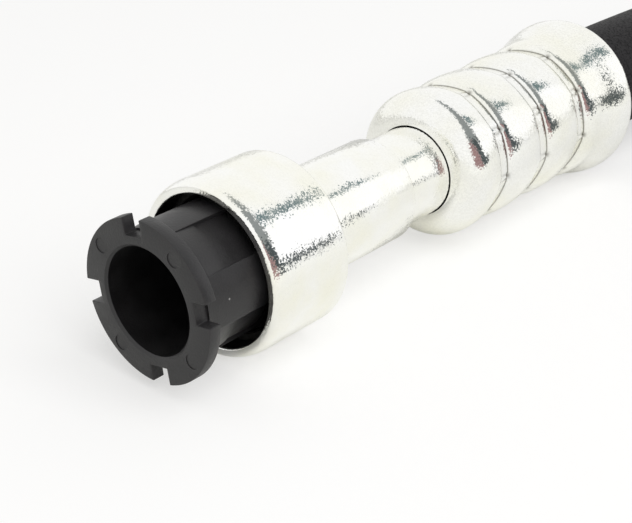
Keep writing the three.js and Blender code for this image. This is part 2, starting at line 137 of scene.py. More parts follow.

# Studio, in metres. The bright metal mirrors the cards, which are painted reflections that glow for
# glossy rays only: a softbox, its dark frame and something warm. Each has a name, a colour, a
# distance from the hose's axis and four corners in order, which are (degrees from straight up
# towards +X, place along Y).
FLOOR_SIZE = 6
FLOOR_COLOR = (0.5, 0.5, 0.5)
MIRRORED_FLOOR_COLOR = (0.95, 0.95, 0.92)
FLOOR_GLOW = 0.54
MIRRORED_FLOOR_GLOW = 0.05
ROOM_LIGHT = 0.44
KEY_PLACE = (0.5, -0.05, 0.6)
KEY_SIZE = 0.8
KEY_ENERGY = 4.8
FRAME_COLOR = (0.075, 0.09, 0.095)
CARDS = (
    ("softbox", (1.1, 1.1, 1.11), 0.63, ((30, 0.24), (79, 0.24), (79, 4.0), (30, 4.0))),
    ("frame_upper_side", (0.16, 0.22, 0.23), 0.6, ((17, 0.25), (32, 0.25), (26.5, 0.85), (24.5, 0.85))),
    ("frame_lower_side", FRAME_COLOR, 0.6, ((75, 0.25), (94, 0.25), (85.5, 0.65), (83.5, 0.65))),
    ("frame_near_side", (0.28, 0.3, 0.3), 0.6, ((-20, 0.11), (52, -0.22), (52, 0.25), (-20, 0.14))),
    ("frame_near_corner", FRAME_COLOR, 0.6, ((52, -0.12), (92, 0.17), (92, 0.26), (52, 0.25))),
    ("warm_corner", (0.36, 0.23, 0.23), 0.6, ((52, -0.28), (90, -0.28), (90, 0.15), (52, -0.125))),
)

# Camera, in metres: a close view from the front right, a little beside the picture's middle
VIEW_TURN = 42.1
VIEW_DROP = 29.12
VIEW_DISTANCE = 0.130
VIEW_POINT = (0.0, -0.0361, 0.0097)
VIEW_POINT_OFFSET = (-146 / 1400, -12 / 1400)  # right and up, at a distance of 1
LENS, SENSOR_WIDTH = 79.75, 36  # in millimetres
SHIFT = (0.038, 0.0467)


# Settings


LENGTH = {"precision": 5, "unit": "LENGTH", "subtype": "DISTANCE"}
COLOR = {"size": 3, "min": 0.0, "max": 1.0, "subtype": "COLOR"}


class FuelHoseSizes(bpy.types.PropertyGroup):
    """Sizes of the coupling, the ferrules and the hose"""

    cup_radius: FloatProperty(
        name="Cup radius", description="Outside of the cup that takes the collar",
        default=9.25 * MM, min=0.008, max=0.012, **LENGTH,
    )
    mouth_radius: FloatProperty(
        name="Mouth radius", description="Opening of the cup round the collar",
        default=8.0 * MM, min=0.0075, max=0.0085, **LENGTH,
    )
    neck_radius: FloatProperty(
        name="Neck radius", description="Neck between the cup and the ferrule",
        default=5.8 * MM, min=0.0055, max=0.0065, **LENGTH,
    )
    flange_radius: FloatProperty(
        name="Flange radius", description="Notched flange of the release collar",
        default=8.4 * MM, min=0.0078, max=0.009, **LENGTH,
    )
    collar_bore: FloatProperty(
        name="Collar bore", description="Radius of the opening that the pipe goes through",
        default=5.55 * MM, min=0.005, max=0.006, **LENGTH,
    )
    land_radius: FloatProperty(
        name="Land radius", description="Outside of the ferrule between its crimps",
        default=8.5 * MM, min=0.008, max=0.009, **LENGTH,
    )
    ring_radius: FloatProperty(
        name="End ring radius", description="Widest place of the ferrule, at its rear",
        default=9.7 * MM, min=0.009, max=0.0098, **LENGTH,
    )
    pipe_radius: FloatProperty(
        name="Pipe radius", description="Plain pipe at the far end",
        default=3.95 * MM, min=0.0035, max=0.0045, **LENGTH,
    )
    bead_radius: FloatProperty(
        name="Bead radius", description="Bead that a coupling's legs hold",
        default=5.3 * MM, min=0.0045, max=0.0055, **LENGTH,
    )
    hose_radius: FloatProperty(
        name="Hose radius", description="Outside of the rubber hose",
        default=6.75 * MM, min=0.0065, max=0.007, **LENGTH,
    )


class FuelHoseFinishes(bpy.types.PropertyGroup):
    """Colours of the finishes"""

    zinc_color: FloatVectorProperty(
        name="Zinc plate", description="Colour of the bright plated steel",
        default=(0.975, 0.975, 0.96), **COLOR,
    )
    haze_color: FloatVectorProperty(
        name="Zinc haze", description="Faint yellow-green bloom in the plating",
        default=(0.945, 0.935, 0.83), **COLOR,
    )
    plastic_color: FloatVectorProperty(
        name="Collar plastic", description="Moulded black plastic",
        default=(0.02, 0.0192, 0.02), **COLOR,
    )
    rubber_color: FloatVectorProperty(
        name="Hose rubber", description="Matt black rubber of the hose",
        default=(0.0055, 0.005, 0.0055), **COLOR,
    )
    seal_color: FloatVectorProperty(
        name="Seal rubber", description="Smooth rubber of the rings",
        default=(0.012, 0.012, 0.012), **COLOR,
    )
    bush_color: FloatVectorProperty(
        name="Bush plastic", description="Plain plastic of the bush and the spacer",
        default=(0.03, 0.029, 0.028), **COLOR,
    )


def sizes():
    return bpy.context.scene.fuel_hose_sizes


def finishes():
    return bpy.context.scene.fuel_hose_finishes


# Modelling helpers


def set_mode(mode):
    bpy.ops.object.mode_set(mode=mode)


def deselect_all():
    if bpy.context.object and bpy.context.object.mode != "OBJECT":
        set_mode("OBJECT")
    bpy.ops.object.select_all(action="DESELECT")


def make_active(piece):
    deselect_all()
    piece.select_set(True)
    bpy.context.view_layer.objects.active = piece


def apply_place():
    """Leaves the place, turn and size of the selected piece in its mesh."""
    bpy.ops.object.transform_apply(location=True, rotation=True, scale=True)


def settle(piece, location, turn=0.0):
    """Puts a piece made round the Y axis at its place and leaves that place in its mesh."""
    make_active(piece)
    piece.location = location
    piece.rotation_euler = (0, 0, turn)
    apply_place()


def settle_at_coupling(piece, place=0.0):
    settle(piece, (0, (COLLAR_FRONT + place) * MM, AXIS_HEIGHT * MM))


def settle_at_far_end(piece):
    settle(piece, (FAR_AXIS_X * MM, FAR_FERRULE_FRONT * MM, AXIS_HEIGHT * MM), math.pi)


def turn_cutter(piece, angle):
    """Turns a cutter round the Y axis."""
    piece.rotation_euler = (0, math.radians(angle), 0)
    apply_place()


def smooth(piece, angle=35.0):
    make_active(piece)
    bpy.ops.object.shade_smooth_by_angle(angle=math.radians(angle))


def merge_doubles(distance=0.002):
    """Merges points of the mesh in edit mode that lie closer together than a distance."""
    bpy.ops.mesh.select_all(action="SELECT")
    bpy.ops.mesh.remove_doubles(threshold=distance * MM)


def arc(r, y, radius, first, last, steps):
    """Points of an arc in a profile, from one angle to another, 0 outwards."""
    points = []
    for i in range(steps + 1):
        a = math.radians(first + (last - first) * i / steps)
        points.append((r + radius * math.cos(a), y + radius * math.sin(a)))
    return points


def turned(name, profile, sides, seam=0.0):
    """Turns a closed profile of (radius, place) round the Y axis, ring by ring."""
    deselect_all()
    radius, place = profile[0]
    bpy.ops.mesh.primitive_circle_add(
        vertices=sides,
        radius=radius * MM,
        fill_type="NOTHING",
        location=(0, place * MM, 0),
        rotation=(math.pi / 2, math.radians(seam), 0),
    )
    piece = bpy.context.object
    piece.name = piece.data.name = name
    apply_place()
    set_mode("EDIT")
    for next_radius, next_place in [*profile[1:], profile[0]]:
        step = (next_place - place) * MM
        bpy.ops.mesh.extrude_region_move(TRANSFORM_OT_translate={"value": (0, step, 0)})
        ratio = next_radius / radius
        centre = (0, next_place * MM, 0)
        bpy.ops.transform.resize(value=(ratio, 1, ratio), center_override=centre)
        radius, place = next_radius, next_place
    merge_doubles()
    bpy.ops.mesh.normals_make_consistent(inside=False)
    set_mode("OBJECT")
    return piece


def wedge(piece, middle, width):
    """Keeps a sector of a turned piece, given by its middle and its width."""
    make_active(piece)
    set_mode("EDIT")
    for side in (1, -1):
        a = math.radians(middle + side * width / 2)
        bpy.ops.mesh.select_all(action="SELECT")
        bpy.ops.mesh.bisect(
            plane_co=(0, 0, 0),
            plane_no=(side * math.cos(a), 0, -side * math.sin(a)),
            use_fill=True,
            clear_outer=True,
        )
    bpy.ops.mesh.select_all(action="SELECT")
    bpy.ops.mesh.normals_make_consistent(inside=False)
    set_mode("OBJECT")


def copied_round(piece, count):
    """Copies a cutter evenly round the Y axis and joins the copies."""
    copies = [piece]
    for i in range(1, count):
        make_active(piece)
        bpy.ops.object.duplicate()
        copies.append(bpy.context.object)
        turn_cutter(bpy.context.object, i * 360 / count)
    deselect_all()
    for copy in copies:
        copy.select_set(True)
    bpy.context.view_layer.objects.active = piece
    bpy.ops.object.join()
    return piece


def cut_away(piece, cutter):
    make_active(piece)
    cut = piece.modifiers.new("Cut", "BOOLEAN")
    cut.operation = "DIFFERENCE"
    cut.solver = "EXACT"
    cut.object = cutter
    bpy.ops.object.modifier_apply(modifier=cut.name)
    bpy.data.objects.remove(cutter, do_unlink=True)
    set_mode("EDIT")
    merge_doubles()
    set_mode("OBJECT")


def round_chosen(piece, chosen, width, angle):
    """Rounds the edges that are sharper than an angle and whose middle is chosen."""
    make_active(piece)
    set_mode("EDIT")
    bpy.ops.mesh.select_mode(type="EDGE")
    bpy.ops.mesh.select_all(action="DESELECT")
    mesh = bmesh.from_edit_mesh(piece.data)
    for edge in mesh.edges:
        middle = (edge.verts[0].co + edge.verts[1].co) / (2 * MM)
        if edge.calc_face_angle(0.0) > math.radians(angle) and chosen(middle):
            edge.select_set(True)
    bmesh.update_edit_mesh(piece.data)
    bpy.ops.mesh.bevel(offset=width * MM, segments=2, affect="EDGES", clamp_overlap=True)
    bpy.ops.mesh.select_mode(type="VERT")
    merge_doubles(0.0005)
    set_mode("OBJECT")


def finish_piece(piece, material, body, nodes):
    piece.data.materials.append(material)
    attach(piece, body)
    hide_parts(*nodes)


def paint_shade_inside(piece, material, inner):
    """Gives the faces marked in a list a second material, which paints shade inside the piece."""
    piece.data.materials.append(material)
    for face, is_inner in zip(piece.data.polygons, inner):
        face.material_index = int(is_inner)


# Shared effects


def feed(tree, socket, value):
    """Links another node's output to a socket, or sets the socket's own value."""
    if hasattr(value, "is_linked"):
        tree.links.new(value, socket)
    else:
        socket.default_value = (*value, 1.0) if socket.type == "RGBA" else value


def set_inputs(tree, node, *values, **named):
    """Feeds a node's first inputs in order, and others by name, an underscore for a space."""
    for socket, value in zip(node.inputs, values):
        feed(tree, socket, value)
    for label, value in named.items():
        feed(tree, node.inputs[label.replace("_", " ")], value)
    return node


def add_node(tree, kind, *values, **named):
    return set_inputs(tree, tree.nodes.new("ShaderNode" + kind), *values, **named)


def math_node(tree, operation, *values, kind="Math", **named):
    node = add_node(tree, kind)
    node.operation = operation
    return set_inputs(tree, node, *values, **named).outputs[0]


def noise_node(tree, scale, detail, **coordinate):
    """Noise in space from a Vector, or along a line from a W."""
    node = add_node(tree, "TexNoise")
    node.noise_dimensions = "1D" if "W" in coordinate else "3D"
    return set_inputs(tree, node, Scale=scale, Detail=detail, **coordinate).outputs[0]


def spread(tree, value, low, high, to_low=0.0, to_high=1.0):
    node = add_node(tree, "MapRange", Value=value, From_Min=low, From_Max=high)
    return set_inputs(tree, node, To_Min=to_low, To_Max=to_high).outputs["Result"]


def mix_colors(tree, factor, first, second):
    node = add_node(tree, "Mix")
    node.data_type = "RGBA"
    for i, value in ((0, factor), (6, first), (7, second)):
        feed(tree, node.inputs[i], value)
    return node.outputs[2]


def cell_nodes(tree, place, scale):
    """Voronoi cells: the node, and a random number for each cell."""
    cells = add_node(tree, "TexVoronoi", Vector=place, Scale=scale)
    return cells, add_node(tree, "SeparateColor", cells.outputs["Color"]).outputs[0]


def object_coordinates(tree):
    return add_node(tree, "TexCoord").outputs["Object"]


def new_group(name, outputs, **inputs):
    """A group with outputs of given kinds, and with inputs that are numbers or colours."""
    group = bpy.data.node_groups.new(name, "ShaderNodeTree")
    new_socket = group.interface.new_socket
    for label, value in inputs.items():
        kind = "NodeSocketColor" if isinstance(value, tuple) else "NodeSocketFloat"
        socket = new_socket(label.replace("_", " "), in_out="INPUT", socket_type=kind)
        socket.default_value = value
    for label, kind in outputs.items():
        new_socket(label, in_out="OUTPUT", socket_type="NodeSocket" + kind)
    return group, group.nodes.new("NodeGroupInput").outputs, group.nodes.new("NodeGroupOutput")


def plating_haze_group(name):
    """Cloudy bloom of a plated surface: a colour between two, and where it lies."""
    group, given, leave = new_group(
        name, {"Color": "Color", "Mask": "Float"},
        Plate=(0.9, 0.9, 0.88, 1), Haze=(0.84, 0.86, 0.74, 1), Scale=180.0, Amount=0.6,
    )
    clouds = noise_node(group, given["Scale"], 4.0, Vector=object_coordinates(group))
    amount = math_node(group, "MULTIPLY", spread(group, clouds, 0.38, 0.68), given["Amount"])
    color = mix_colors(group, amount, given["Plate"], given["Haze"])
    set_inputs(group, leave, Color=color, Mask=amount)
    return group


def fine_grain_group(name):
    """Fine grain of a surface, fainter in patches: a height and a mask of its hollows."""
    outputs = {"Height": "Float", "Mask": "Float"}
    group, given, leave = new_group(name, outputs, Scale=5000.0, Patches=0.0)
    place = object_coordinates(group)
    grain = noise_node(group, given["Scale"], 1.5, Vector=place)
    patchy = spread(group, noise_node(group, 260.0, 3.0, Vector=place), 0.35, 0.62)
    bare = math_node(group, "SUBTRACT", 1.0, given["Patches"])
    share = math_node(group, "MULTIPLY_ADD", patchy, given["Patches"], bare)
    height = math_node(group, "MULTIPLY", grain, share)
    set_inputs(group, leave, Height=height, Mask=spread(group, grain, 0.55, 0.35))
    return group


def spangle_group(name):
    """Tiny crystals of a plated surface, each tilted its own way: a normal and a random tone."""
    outputs = {"Normal": "Vector", "Tone": "Float"}
    group, given, leave = new_group(name, outputs, Scale=7500.0, Tilt=0.12)
    place = object_coordinates(group)
    cells, tone = cell_nodes(group, place, given["Scale"])
    patches = noise_node(group, 330.0, 2.0, Vector=place)
    uneven = spread(group, patches, 0.35, 0.65, 0.55, 1.25)
    tilt = math_node(group, "MULTIPLY", given["Tilt"], uneven)
    middle = (0.5, 0.5, 0.5)
    aside = math_node(group, "SUBTRACT", cells.outputs["Color"], middle, kind="VectorMath")
    aside = math_node(group, "SCALE", aside, kind="VectorMath", Scale=tilt)
    straight = add_node(group, "NewGeometry").outputs["Normal"]
    tilted = math_node(group, "ADD", straight, aside, kind="VectorMath")
    normal = math_node(group, "NORMALIZE", tilted, kind="VectorMath")
    set_inputs(group, leave, Normal=normal, Tone=tone)
    return group


def turning_lines_group(name):
    """Faint rings that a tool leaves round the Y axis: a height."""
    outputs = {"Height": "Float"}
    group, given, leave = new_group(name, outputs, Lines_per_metre=5000.0, Height=1.0)
    split = add_node(group, "SeparateXYZ", object_coordinates(group))
    rings = noise_node(group, given["Lines per metre"], 3.0, W=split.outputs["Y"])
    height = math_node(group, "MULTIPLY", rings, given["Height"])
    set_inputs(group, leave, Height=height)
    return group


def dust_group(name):
    """Sparse pale specks: a mask."""
    group, given, leave = new_group(name, {"Mask": "Float"}, Scale=900.0, Size=0.06, Share=0.2)
    cells, tone = cell_nodes(group, object_coordinates(group), given["Scale"])
    near = math_node(group, "LESS_THAN", cells.outputs["Distance"], given["Size"])
    chosen = math_node(group, "LESS_THAN", tone, given["Share"])
    set_inputs(group, leave, Mask=math_node(group, "MULTIPLY", near, chosen))
    return group


GROUP_MAKERS = {
    "Plating haze": plating_haze_group,
    "Fine grain": fine_grain_group,
    "Turning lines": turning_lines_group,
    "Zinc spangle": spangle_group,
    "Dust specks": dust_group,
}


def place_group(tree, name, **values):
    """Places a shared group, which is made the first time that it is asked for."""
    node = add_node(tree, "Group")
    node.node_tree = bpy.data.node_groups.get(name) or GROUP_MAKERS[name](name)
    return set_inputs(tree, node, **values)


# Finishes


def new_material(name, metallic, roughness, specular=0.5):
    material = bpy.data.materials.new(name)
    material.use_nodes = True
    tree = material.node_tree
    shader = tree.nodes["Principled BSDF"]
    set_inputs(tree, shader, Metallic=metallic, Roughness=roughness, Specular_IOR_Level=specular)
    return material, tree, shader


def bump(tree, shader, height, distance, **normal):
    node = add_node(tree, "Bump", Height=height, Distance=distance * MM, **normal)
    set_inputs(tree, shader, Normal=node.outputs["Normal"])


def made_once(maker):
    """Lets a maker of materials make one only where there is none of that name yet."""

    def find_or_make(name, *values, **options):
        return bpy.data.materials.get(name) or maker(name, *values, **options)

    return find_or_make


@made_once
def zinc_material(name, line_height, haze_scale, mottle, crimped=False):
    """Bright zinc plate: cloudy bloom, spangle that breaks reflections up, faint turning lines, and on a
    crimp painted shade in its creases.
    """
    # The second colour is the dark of the painted shade in a crimp's creases.
    dull_color, crease_shade_color = (0.5, 0.5, 0.46), (0.1, 0.09, 0.07)
    material, tree, shader = new_material(name, 1.0, 0.13)
    haze = place_group(tree, "Plating haze", Scale=haze_scale, Amount=0.8)
    set_inputs(tree, haze, Plate=finishes().zinc_color, Haze=finishes().haze_color)
    spangle = place_group(tree, "Zinc spangle", Scale=7500.0, Tilt=0.12)
    lines = place_group(tree, "Turning lines", Lines_per_metre=5200.0, Height=line_height)
    dull = math_node(tree, "MULTIPLY", spangle.outputs["Tone"], mottle)
    color = mix_colors(tree, dull, haze.outputs["Color"], dull_color)
    # On a crimp, painted shade darkens the creases, the pits and the places beside the ridges.
    if crimped:
        crease = add_node(tree, "Attribute")
        crease.attribute_name = CREASE_SHADE_ATTRIBUTE
        color = mix_colors(tree, crease.outputs["Fac"], color, crease_shade_color)
    rough = math_node(tree, "MULTIPLY_ADD", haze.outputs["Mask"], 0.07, 0.1)
    set_inputs(tree, shader, Base_Color=color, Roughness=rough)
    bump(tree, shader, lines.outputs["Height"], 0.02, Normal=spangle.outputs["Normal"])
    return material


def turned_zinc():
    return zinc_material("Turned zinc", line_height=0.15, haze_scale=190.0, mottle=0.08)


@made_once
def plastic_material(name, tone, dust_share):
    """Moulded black plastic with a fine grain, a faint cloudy sheen and a few specks of dust."""
    material, tree, shader = new_material(name, 0.0, 0.42)
    # A tone below 1 gives a darker copy of the plastic, as painted shade.
    dark = [tone * c for c in finishes().plastic_color]
    pale = [1.9 * c for c in dark]
    dust_color = [tone * c for c in (0.3, 0.29, 0.28)]
    grain = place_group(tree, "Fine grain", Scale=5200.0, Patches=0.3)
    dust = place_group(tree, "Dust specks", Scale=620.0, Size=0.1, Share=dust_share)
    clouds = noise_node(tree, 420.0, 4.0, Vector=object_coordinates(tree))
    color = mix_colors(tree, spread(tree, clouds, 0.35, 0.75, 0.0, 0.4), dark, pale)
    color = mix_colors(tree, dust.outputs["Mask"], color, dust_color)
    rough = spread(tree, clouds, 0.3, 0.7, 0.36, 0.52)
    set_inputs(tree, shader, Base_Color=color, Roughness=rough)
    bump(tree, shader, grain.outputs["Height"], 0.03)
    return material


@made_once
def grained_material(name, metallic, roughness, specular, pale, dark, scale, patches, depth, swing=0.0):
    """A finish with a fine grain: dark, and rougher by the swing, in its hollows."""
    material, tree, shader = new_material(name, metallic, roughness, specular)
    grain = place_group(tree, "Fine grain", Scale=scale, Patches=patches)
    hollow = grain.outputs["Mask"]
    set_inputs(tree, shader, Base_Color=mix_colors(tree, hollow, pale, dark))
    if swing:
        rough = spread(tree, hollow, 0.0, 1.0, roughness - swing, roughness + swing)
        set_inputs(tree, shader, Roughness=rough)
    bump(tree, shader, grain.outputs["Height"], depth)
    return material


def rubber_material(name, color, roughness, scale, depth):
    return grained_material(
        name, metallic=0.0, roughness=roughness, specular=0.12,
        pale=[2.2 * c + 0.004 for c in color], dark=color,
        scale=scale, patches=0.4, depth=depth, swing=0.08,
    )


def shaded_bore_material():
    """Dull steel of the bores, mouth and chamber, painted dark as shade because little light gets in."""
    return grained_material(
        "Bore steel, painted shade", metallic=1.0, roughness=0.55, specular=0.5,
        pale=(0.04, 0.04, 0.038), dark=(0.022, 0.022, 0.021),
        scale=3000.0, patches=0.3, depth=0.02,
    )


def bush_material():
    color = finishes().bush_color
    return grained_material(
        "Bush plastic", metallic=0.0, roughness=0.5, specular=0.4,
        pale=[min(1.0, 1.25 * c) for c in color], dark=color,
        scale=3500.0, patches=0.2, depth=0.01,
    )


# Ferrules


def land_share(t):
    """Share of a land's height: steep behind a crease, gentler towards the next groove."""
    if t < LAND_PEAK:
        return math.sqrt(max(0.0, 1 - (1 - t / LAND_PEAK) ** 2))
    return math.sqrt(max(0.0, 1 - ((t - LAND_PEAK) / (1 - LAND_PEAK)) ** 2))


def ring_radius_at(y, ring):
    """Outside of the ring behind the last groove, before the groove's own rise."""
    t = min(1.0, max(0.0, (y - RING_PEAK + RING_SWELL) / RING_SWELL))
    return RING_ROOT_RADIUS + (ring - RING_ROOT_RADIUS) * t * t * (3 - 2 * t)


def bell(distance, width):
    return math.exp(-((distance / width) ** 2))


def jaw_angles(angle):
    """How far an angle is from the middle of its jaw's mark, and from the nearest ridge."""
    step = 360 / JAW_COUNT
    off = (angle - JAW_TURN) % step - step / 2
    return off, step / 2 - abs(off)


def crimped_radius(y, angle, land, ring):
    """Radius of the crimped part at a place along the ferrule and an angle round it."""
    off, to_ridge = jaw_angles(angle)
    floor = JAW_RADIUS * (1 + JAW_FLATNESS * (1 / math.cos(math.radians(off)) - 1))
    pit = PIT_DEPTH * bell(to_ridge, PIT_WIDTH)
    for start, rear in zip(LAND_STARTS, GROOVE_REARS):
        front = rear - BAND_LENGTH
        if y < front:
            t = (y - start) / (front - start)
            if start == NOSE_LENGTH:
                t = LAND_PEAK + (1 - LAND_PEAK) * t
                pit = 0.0
            low = floor + BAND_RISE * t
            return low + (land - low) * land_share(t) - pit * bell(y - start, PIT_REACH)
        if y <= rear:
            t = (rear - y) / BAND_LENGTH
            ridge = RIDGE_HEIGHT * bell(to_ridge, RIDGE_WIDTH) * math.sin(math.pi * t) ** 0.6
            return floor + BAND_RISE * t + ridge - pit * bell(rear - y, PIT_REACH)
    last = GROOVE_REARS[-1]
    t = LAND_PEAK * min(1.0, 3 * (y - last) / (RING_PEAK - last))
    rise = (ring_radius_at(y, ring) - floor) * land_share(t)
    return floor + rise - pit * bell(y - last, PIT_REACH)


def painted_crease_shade(y, angle):
    """Painted shade in the creases, in the pits and beside the ridges, 0 to 1."""
    to_ridge = jaw_angles(angle)[1]
    beside = RIDGE_SHADE * bell(to_ridge - RIDGE_SHADE_TURN, RIDGE_SHADE_WIDTH)
    painted_shade = 0.0
    for rear in GROOVE_REARS:
        front = rear - BAND_LENGTH
        at_rear = REAR_SHADE * bell(y - rear, REAR_SHADE_BEFORE if y < rear else REAR_SHADE_BEHIND)
        at_front = FRONT_SHADE * bell(y - front, FRONT_SHADE_REACH)
        at_pit = bell(to_ridge, PIT_WIDTH) * bell(y - rear, PIT_SHADE_REACH)
        at_ridge = beside * bell(y - (front + rear) / 2, RIDGE_SHADE_REACH)
        painted_shade = max(painted_shade, at_rear, at_front, at_pit, at_ridge)
    return min(1.0, painted_shade)


def crimp_places():
    """Places along the ferrule that get a ring of points, close together at the creases."""
    nose_land_steps, land_steps, ring_steps, ring_ease = 12, 20, 26, 1.7
    places = []
    for start, rear in zip(LAND_STARTS, GROOVE_REARS):
        length = rear - BAND_LENGTH - start
        steps = nose_land_steps if start == NOSE_LENGTH else land_steps
        for k in range(1, steps + 1):
            t = k / steps
            eased = t if start == NOSE_LENGTH else (1 - math.cos(math.pi * t)) / 2
            places.append(start + length * eased)
        places += [rear - BAND_LENGTH * (1 - t) for t in (0.15, 0.35, 0.55, 0.75, 0.88, 0.95, 1.0)]
    last = GROOVE_REARS[-1]
    shares = [k / ring_steps for k in range(1, ring_steps)]
    return [*places, *(last + (RING_PEAK - last) * t ** ring_ease for t in shares)]


def ferrule_bore(ring):
    """Inside of the ferrule, from its rounded rear lip to the edge of its hole."""
    even, pressed = 7.2, 6.44
    ring_wall, front_wall, hole_edge = 1.3, 1.8, 0.1
    mouth = ring - RING_ROUND
    points = [
        (mouth + 0.22, FERRULE_LENGTH - 0.04),
        (mouth + 0.08, FERRULE_LENGTH - 0.16),
        (mouth, FERRULE_LENGTH - 0.4),
        (ring - ring_wall, RING_PEAK),
        (ring - ring_wall, RING_PEAK - ring_wall),
        (even, RING_PEAK - RING_SWELL),
    ]
    for rear in reversed(GROOVE_REARS):
        shares = ((even, 1), (pressed, 1 / 3), (pressed, -1), (even, -2))
        points += [(radius, rear + share * BAND_LENGTH) for radius, share in shares]
    return [*points, (even, front_wall), (FERRULE_HOLE, front_wall), (FERRULE_HOLE, hole_edge)]


def crimp_ferrule(name):
    land = sizes().land_radius / MM
    ring = sizes().ring_radius / MM
    middle = land - NOSE_HEIGHT
    first = -math.degrees(math.acos((FERRULE_HOLE - middle) / NOSE_HEIGHT))
    nose = arc(0, 0, 1, first, 0, 20)
    profile = [
        *((middle + NOSE_HEIGHT * r, NOSE_LENGTH * (1 + y)) for r, y in nose),
        *((land, y) for y in crimp_places()),
        *arc(ring - RING_ROUND, RING_PEAK, RING_ROUND, 0, 80, 10),
        *ferrule_bore(ring),
    ]
    piece = turned(name, profile, FERRULE_SIDES, JAW_TURN)
    press_jaws(piece, land, ring)
    return piece


def press_jaws(piece, land, ring):
    """Presses the nine jaws of the crimping tool into the ferrule's outside."""
    margin = 0.01
    # Each point keeps its share of painted shade, for the creases of the crimp.
    painted_shade = piece.data.attributes.new(CREASE_SHADE_ATTRIBUTE, "FLOAT", "POINT")
    for vertex in piece.data.vertices:
        x, y, z = (c / MM for c in vertex.co)
        radius = math.hypot(x, z)
        if radius < land - margin or not NOSE_LENGTH + margin < y < RING_PEAK + margin:
            continue
        angle = math.degrees(math.atan2(x, z))
        pressed = crimped_radius(y, angle, land, ring) / radius
        vertex.co.x *= pressed
        vertex.co.z *= pressed
        painted_shade.data[vertex.index].value = painted_crease_shade(y, angle)
    piece.data.update()


class FUELHOSE_OT_ferrules(bpy.types.Operator):
    """Add the crimped ferrule of the coupling and its copy on the pipe end"""

    bl_idname = "fuel_hose.add_ferrules"
    bl_label = "Add Ferrules"

    def execute(self, context):
        near = crimp_ferrule("crimp_ferrule_skin")
        smooth(near)
        make_active(near)
        bpy.ops.object.duplicate()
        far = bpy.context.object
        far.name = far.data.name = "pipe_ferrule_skin"
        settle_at_coupling(near, FERRULE_FRONT)
        settle_at_far_end(far)
        zinc = zinc_material("Pressed zinc", line_height=0.05, haze_scale=150.0, mottle=0.2, crimped=True)
        finish_piece(near, zinc, "coupling", ["crimp_ferrule"])
        finish_piece(far, zinc, "coupling", ["pipe_ferrule"])
        return {"FINISHED"}


# Socket and pipe end


def barbed_stem(first, last):
    """Outside of a barbed stem, from its shoulder to the start of its bore."""
    root, crest, crest_round, count = 3.45, 3.95, 0.05, 4
    slope = ((-0.35, root), (-0.27, crest - crest_round), (-0.24, crest), (-0.2, crest - crest_round))
    pitch = (last - first) / (count + 0.5)
    points = [(root + STEM_EDGE, first), (root, first + STEM_EDGE)]
    for i in range(1, count + 1):
        for share, radius in (*slope, (0.2, root)):
            points.append((radius, first + pitch * (i + share)))
    points += [(root, last - 0.4), (root - 0.25, last)]
    return [*points, (STEM_BORE + STEM_EDGE, last), (STEM_BORE, last - STEM_EDGE)]


def socket_profile():
    cup = sizes().cup_radius / MM
    mouth = sizes().mouth_radius / MM
    neck = sizes().neck_radius / MM
    front, rear = 8.0, 18.6
    mouth_round, lip, edge, fillet = 0.22, 0.5, 0.7, 0.8
    taper, taper_length, taper_angle = 0.25, 1.3, 21
    step, step_depth, shoulder_edge = 33.35, 0.7, 0.2
    rear_neck = neck - step_depth
    nose_bore, nose_seat, nose_end, stem_bore_start = 4.2, 24.1, 31.85, 33.4
    seat, seat_front = 5.2, 16.7
    chamber, chamber_front = 8.0, 11.4
    catch, catch_edge, catch_front, mouth_rear = 7.25, 0.15, 10.4, 9.4
    lip_radius = cup - taper - lip * math.cos(math.radians(taper_angle))
    lip_arc = arc(lip_radius, front + lip, lip, -90, -taper_angle, 8)
    taper_start = lip_arc[-1][1]
    shares = [i / 8 for i in range(1, 9)]
    return [
        *arc(mouth + mouth_round, front + mouth_round, mouth_round, 180, 270, 4),
        *lip_arc,
        *((cup - taper * (1 - t) ** 2, taper_start + taper_length * t) for t in shares),
        (cup, front + 4.0), (cup, rear - 3.0),
        *arc(cup - edge, rear - edge, edge, 0, 90, 7),
        *arc(neck + fillet, rear + fillet, fillet, 270, 180, 7),
        (neck, 25.0), (neck, step - 0.12), (neck - 0.04, step - 0.03), (neck - 0.14, step),
        (rear_neck + 0.08, step + 0.17), (rear_neck, step + 0.25), (rear_neck, 36.0),
        (rear_neck, SHOULDER - shoulder_edge), (rear_neck - shoulder_edge, SHOULDER),
        *barbed_stem(SHOULDER, SHOULDER + STEM_LENGTH),
        (STEM_BORE, stem_bore_start), (nose_bore, nose_end),
        (nose_bore, nose_seat + 0.15), (nose_bore + 0.15, nose_seat),
        (seat, nose_seat), (seat, seat_front + 0.2), (seat + 0.2, seat_front),
        (chamber, seat_front), (chamber, chamber_front),
        (catch + catch_edge, chamber_front), (catch, chamber_front - catch_edge),
        (catch, catch_front + catch_edge), (catch + catch_edge, catch_front),
        (mouth, catch_front), (mouth, mouth_rear),
    ]


def inside_socket(place):
    """Whether a face of the socket lies in its mouth, chamber or bore."""
    y = place.y / MM
    radius = math.hypot(place.x, place.z) / MM
    hollows = (
        (sizes().mouth_radius / MM + 0.05, 8.3, 18.5),  # mouth and chamber
        (5.35, 0, 25),  # seat of the seals
        (4.4, 0, SHOULDER - 0.5),  # bore
    )
    return any(radius < reach and first < y < last for reach, first, last in hollows)


class FUELHOSE_OT_socket(bpy.types.Operator):
    """Add the coupling socket: a cup, a stepped neck and a barbed stem in one piece"""

    bl_idname = "fuel_hose.add_socket"
    bl_label = "Add Coupling Socket"

    def execute(self, context):
        piece = turned("coupling_socket_skin", socket_profile(), SOCKET_SIDES)
        smooth(piece)
        # Faces in the mouth, chamber and bores get painted shade.
        inner = [inside_socket(face.center) for face in piece.data.polygons]
        settle_at_coupling(piece)
        finish_piece(piece, turned_zinc(), "coupling", ["coupling_socket"])
        paint_shade_inside(piece, shaded_bore_material(), inner)
        return {"FINISHED"}


